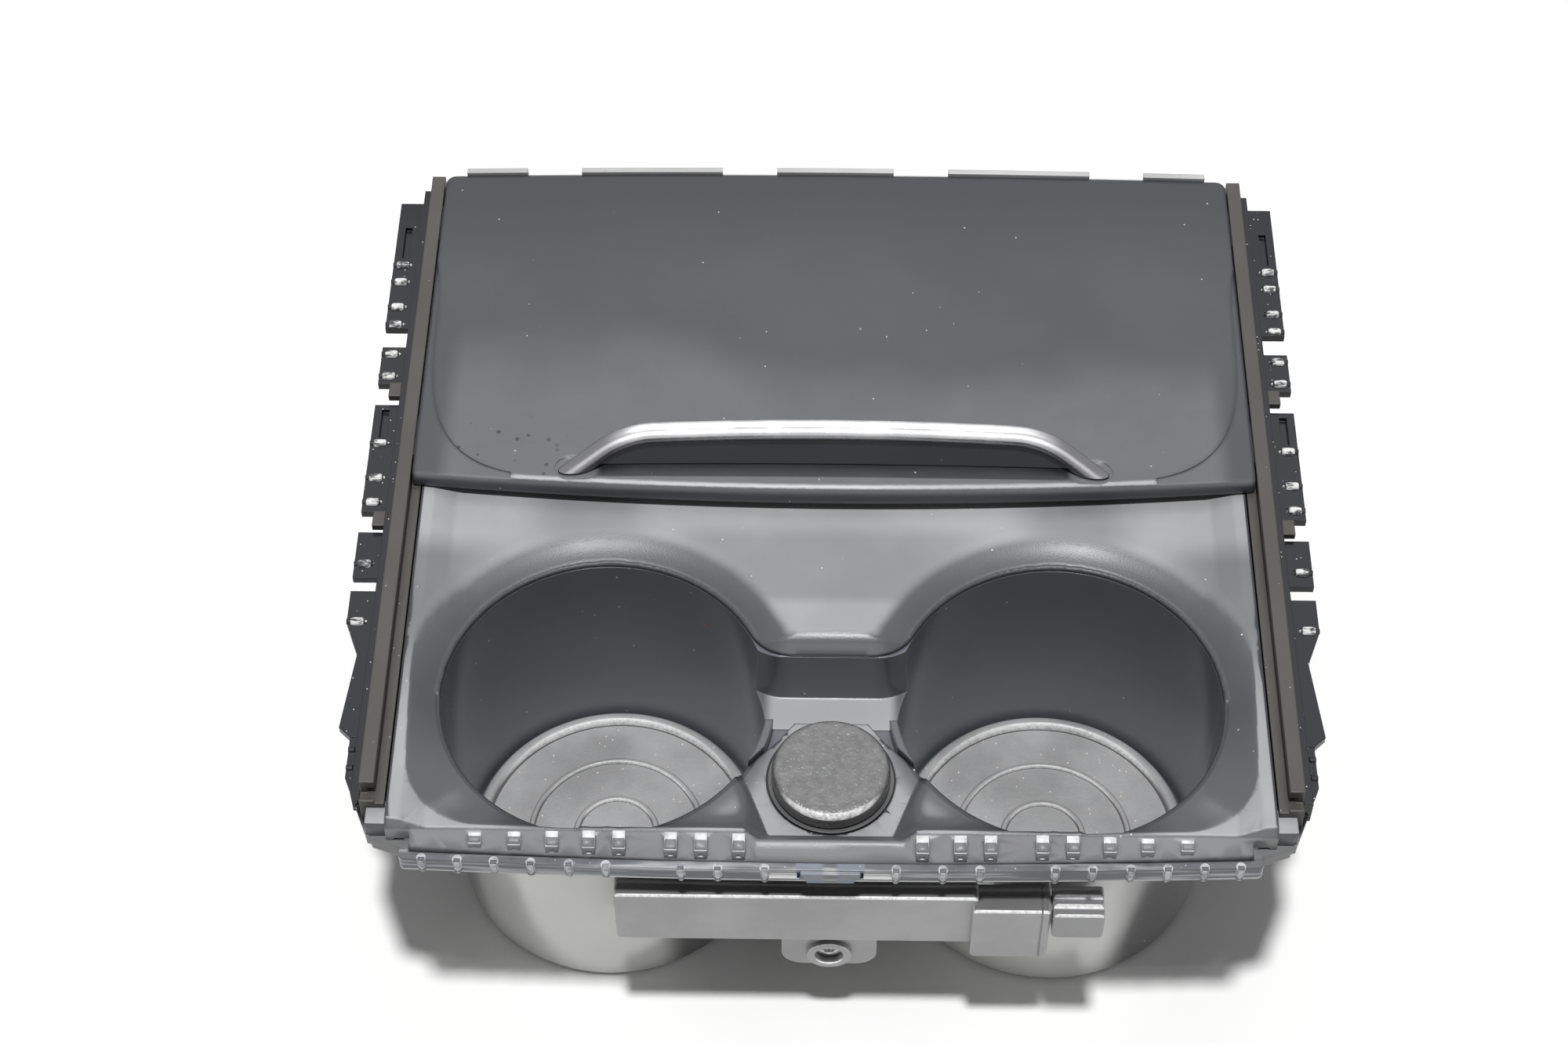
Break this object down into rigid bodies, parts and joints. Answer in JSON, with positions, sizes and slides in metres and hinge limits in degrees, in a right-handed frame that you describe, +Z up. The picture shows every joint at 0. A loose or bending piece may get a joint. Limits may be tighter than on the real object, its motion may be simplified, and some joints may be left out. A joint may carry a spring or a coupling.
{
  "type": "car cup holder",
  "caption": "Car console drink holder: joined cup wells with rubber mats, a capped 12 V socket between them, an aerial bar in front and a handled lid that slides on side rails.",
  "frame": {"origin": "midway between the two cup axes, on the plane the cups stand on", "axes": "+X to the right seen from the nose, +Y to the rear where the lid slides open, +Z up"},
  "size_m": [0.2288, 0.2094, 0.0832],
  "materials": {
    "tray_grey": "fine matte grain",
    "insert_black": "gloss outside, satin inside",
    "mat_rubber": "matte rubber",
    "carrier_black": "gloss with white scuffs",
    "rail_brown": "satin",
    "lid_grey": "satin with dust and smudges",
    "lid_inner": "matte",
    "trim_silver": "satin silver coat",
    "grip_black": "satin",
    "shoe_white": "matte",
    "collar_black": "matte",
    "barrel_steel": "plated",
    "contact_brass": "plain",
    "cap_grey": "grained",
    "aerial_grey": "matte",
    "ferrite": "matte",
    "coil_copper": "enamelled",
    "lock_grey": "matte",
    "screw_steel": "zinc plated"
  },
  "bodies": {
    "holder": {"cup_tray": "tray_grey", "cup_insert": "insert_black", "cup_mat_left": "mat_rubber", "cup_mat_right": "mat_rubber", "carrier_frame": "carrier_black", "guide_rail_left": "rail_brown", "guide_rail_right": "rail_brown", "socket_collar": "collar_black", "socket_barrel": "barrel_steel", "socket_base": "collar_black", "socket_contact": "contact_brass", "socket_terminals": "contact_brass", "socket_cap": "cap_grey", "antenna_housing": "aerial_grey", "antenna_back": "aerial_grey", "ferrite_core": "ferrite", "antenna_coil": "coil_copper", "antenna_pins": "contact_brass", "connector_lock": "lock_grey", "bracket_screw": "screw_steel", "insert_screws": "screw_steel"},
    "lid": {"lid_panel": "lid_grey", "lid_under_panel": "lid_inner", "handle_trim": "trim_silver", "handle_grip": "grip_black", "glide_shoe_front_left": "shoe_white", "glide_shoe_front_right": "shoe_white", "glide_shoe_rear_left": "shoe_white", "glide_shoe_rear_right": "shoe_white"}
  },
  "joints": [
    {"name": "lid_slide", "type": "slide", "parent": "holder", "child": "lid", "axis": [0, 1, 0], "range_m": [-0.094, 0]}
  ]
}
